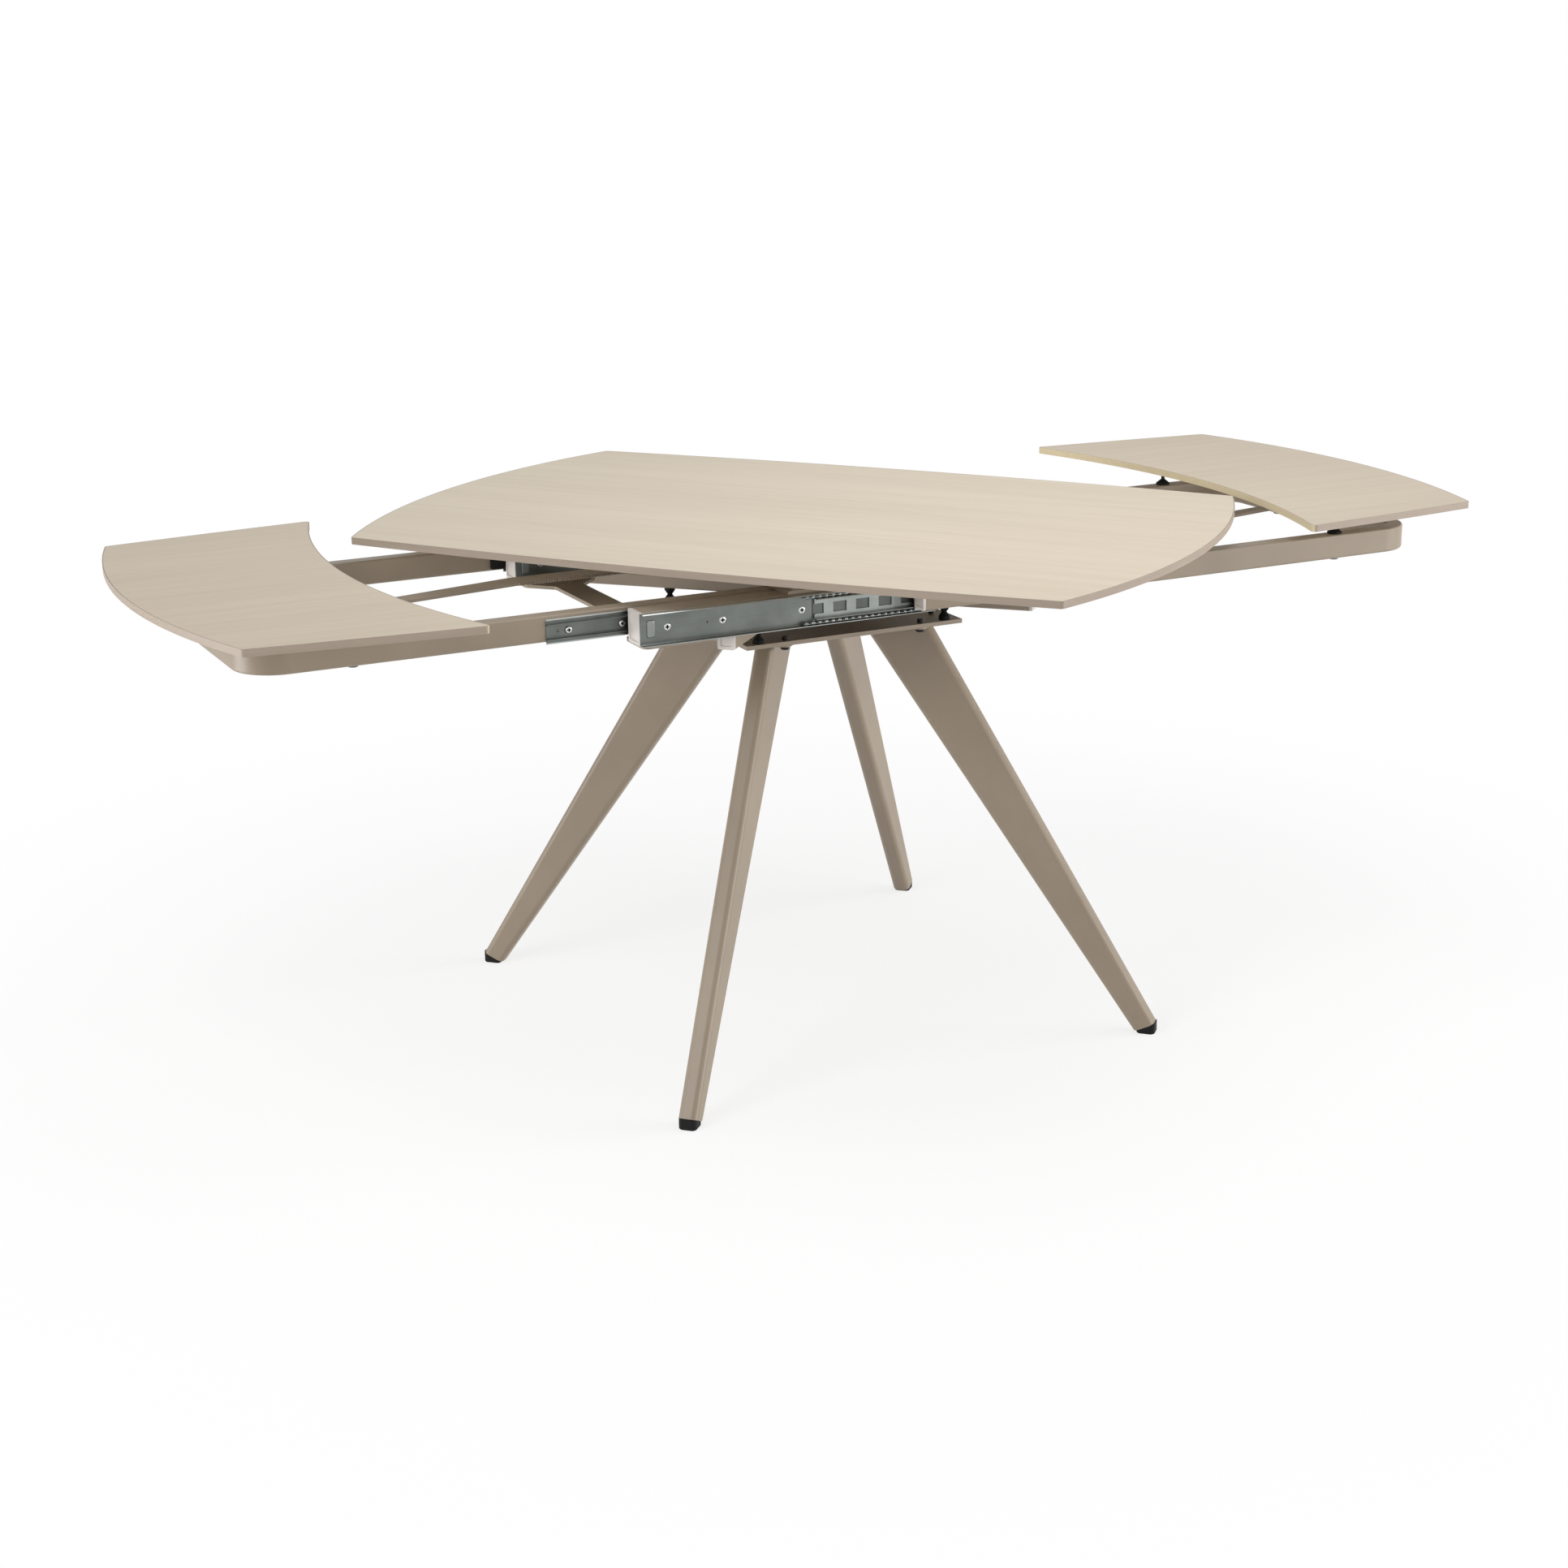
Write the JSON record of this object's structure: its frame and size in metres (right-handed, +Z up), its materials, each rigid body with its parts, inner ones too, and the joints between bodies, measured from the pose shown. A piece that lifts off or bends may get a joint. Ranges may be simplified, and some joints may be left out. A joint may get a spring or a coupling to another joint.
{
  "type": "extendable table",
  "caption": "Extendable table with a barrel-shaped turning top, two curved end leaves on ball-slide frames and splayed flat tube legs.",
  "frame": {"origin": "on the floor, under the pivot of the top", "axes": "+X along the slides towards the right leaf, +Y away from the viewer, +Z up"},
  "size_m": [1.99, 1.3044, 0.745],
  "materials": {
    "table_laminate": "fine straight grain, pale beige, satin",
    "edge_strip": "smooth edge strip, satin",
    "hub_board": "plain board, matte",
    "taupe_paint": "powder coat, satin",
    "zinc_plate": "zinc plated sheet, dull",
    "bright_steel": "bright plated steel",
    "black_steel": "black oxide",
    "black_plastic": "moulded, matte",
    "white_plastic": "milky moulded plug"
  },
  "bodies": {
    "base": {"leg_front_left": "taupe_paint", "leg_front_right": "taupe_paint", "leg_rear_left": "taupe_paint", "leg_rear_right": "taupe_paint", "foot_glides": "black_plastic", "leg_bolts": "black_steel", "base_plate": "taupe_paint", "base_standoffs": "black_plastic", "cross_tube_long": "taupe_paint", "cross_tube_front": "taupe_paint", "cross_tube_rear": "taupe_paint", "cross_tube_caps": "white_plastic", "beam_front": "taupe_paint", "beam_rear": "taupe_paint", "beam_caps": "white_plastic", "tie_plate_left": "taupe_paint", "tie_plate_right": "taupe_paint", "tie_plate_screws": "bright_steel", "slide_channels_left": "zinc_plate", "slide_channels_right": "zinc_plate", "channel_screws": "bright_steel", "rack_guides": "taupe_paint", "carrier_plate": "taupe_paint", "carrier_screws": "bright_steel", "swivel_lower_ring": "zinc_plate", "pivot_post": "bright_steel", "pivot_spacer": "zinc_plate", "pivot_nut": "zinc_plate"},
    "left_leaf": {"frame_left": "taupe_paint", "frame_caps_left": "white_plastic", "slide_runners_left": "zinc_plate", "runner_bumpers_left": "black_plastic", "runner_screws_left": "bright_steel", "leaf_supports_left": "black_plastic", "support_bolts_left": "zinc_plate", "rack_left": "taupe_paint", "leaf_left": "table_laminate", "leaf_edge_left": "edge_strip"},
    "left_middles": {"slide_middles_left": "zinc_plate"},
    "left_outer_cages": {"slide_outer_cages_left": "zinc_plate"},
    "left_inner_cages": {"slide_inner_cages_left": "zinc_plate"},
    "right_leaf": {"frame_right": "taupe_paint", "frame_caps_right": "white_plastic", "slide_runners_right": "zinc_plate", "runner_bumpers_right": "black_plastic", "runner_screws_right": "bright_steel", "leaf_supports_right": "black_plastic", "support_bolts_right": "zinc_plate", "rack_right": "taupe_paint", "leaf_right": "table_laminate", "leaf_edge_right": "edge_strip"},
    "right_middles": {"slide_middles_right": "zinc_plate"},
    "right_outer_cages": {"slide_outer_cages_right": "zinc_plate"},
    "right_inner_cages": {"slide_inner_cages_right": "zinc_plate"},
    "pinion": {"pinion": "black_plastic"},
    "swivel_balls": {"swivel_balls": "bright_steel"},
    "top": {"top_board": "table_laminate", "top_edge": "edge_strip", "top_hub": "hub_board", "swivel_upper_ring": "zinc_plate"}
  },
  "joints": [
    {"name": "left_leaf_slide", "type": "slide", "parent": "base", "child": "left_leaf", "axis": [-1, 0, 0], "range_m": [-0.412, 0]},
    {"name": "left_middle_slide", "type": "slide", "parent": "base", "child": "left_middles", "axis": [-1, 0, 0], "range_m": [-0.26, 0]},
    {"name": "left_outer_cage_slide", "type": "slide", "parent": "base", "child": "left_outer_cages", "axis": [-1, 0, 0], "range_m": [-0.13, 0]},
    {"name": "left_inner_cage_slide", "type": "slide", "parent": "base", "child": "left_inner_cages", "axis": [-1, 0, 0], "range_m": [-0.336, 0]},
    {"name": "right_leaf_slide", "type": "slide", "parent": "base", "child": "right_leaf", "axis": [1, 0, 0], "range_m": [-0.412, 0]},
    {"name": "right_middle_slide", "type": "slide", "parent": "base", "child": "right_middles", "axis": [1, 0, 0], "range_m": [-0.26, 0]},
    {"name": "right_outer_cage_slide", "type": "slide", "parent": "base", "child": "right_outer_cages", "axis": [1, 0, 0], "range_m": [-0.13, 0]},
    {"name": "right_inner_cage_slide", "type": "slide", "parent": "base", "child": "right_inner_cages", "axis": [1, 0, 0], "range_m": [-0.336, 0]},
    {"name": "pinion_turn", "type": "hinge", "parent": "base", "child": "pinion", "pos_m": [0, 0, 0.678], "axis": [0, 0, 1], "range_deg": [-393.4, 0]},
    {"name": "top_turn", "type": "hinge", "parent": "base", "child": "top", "pos_m": [0, 0, 0.735], "axis": [0, 0, 1], "range_deg": [-128.4, 51.6]},
    {"name": "swivel_ball_turn", "type": "hinge", "parent": "base", "child": "swivel_balls", "pos_m": [0, 0, 0.7075], "axis": [0, 0, 1], "range_deg": [-64.2, 25.8]}
  ],
  "couplings": [
    {"joint": "left_middle_slide", "follows": "left_leaf_slide", "ratio": 0.63107},
    {"joint": "left_outer_cage_slide", "follows": "left_leaf_slide", "ratio": 0.31553},
    {"joint": "left_inner_cage_slide", "follows": "left_leaf_slide", "ratio": 0.81553},
    {"joint": "right_leaf_slide", "follows": "left_leaf_slide", "ratio": 1},
    {"joint": "right_middle_slide", "follows": "left_leaf_slide", "ratio": 0.63107},
    {"joint": "right_outer_cage_slide", "follows": "left_leaf_slide", "ratio": 0.31553},
    {"joint": "right_inner_cage_slide", "follows": "left_leaf_slide", "ratio": 0.81553},
    {"joint": "pinion_turn", "follows": "left_leaf_slide", "rad_per_m": 16.667},
    {"joint": "swivel_ball_turn", "follows": "top_turn", "ratio": 0.5}
  ]
}
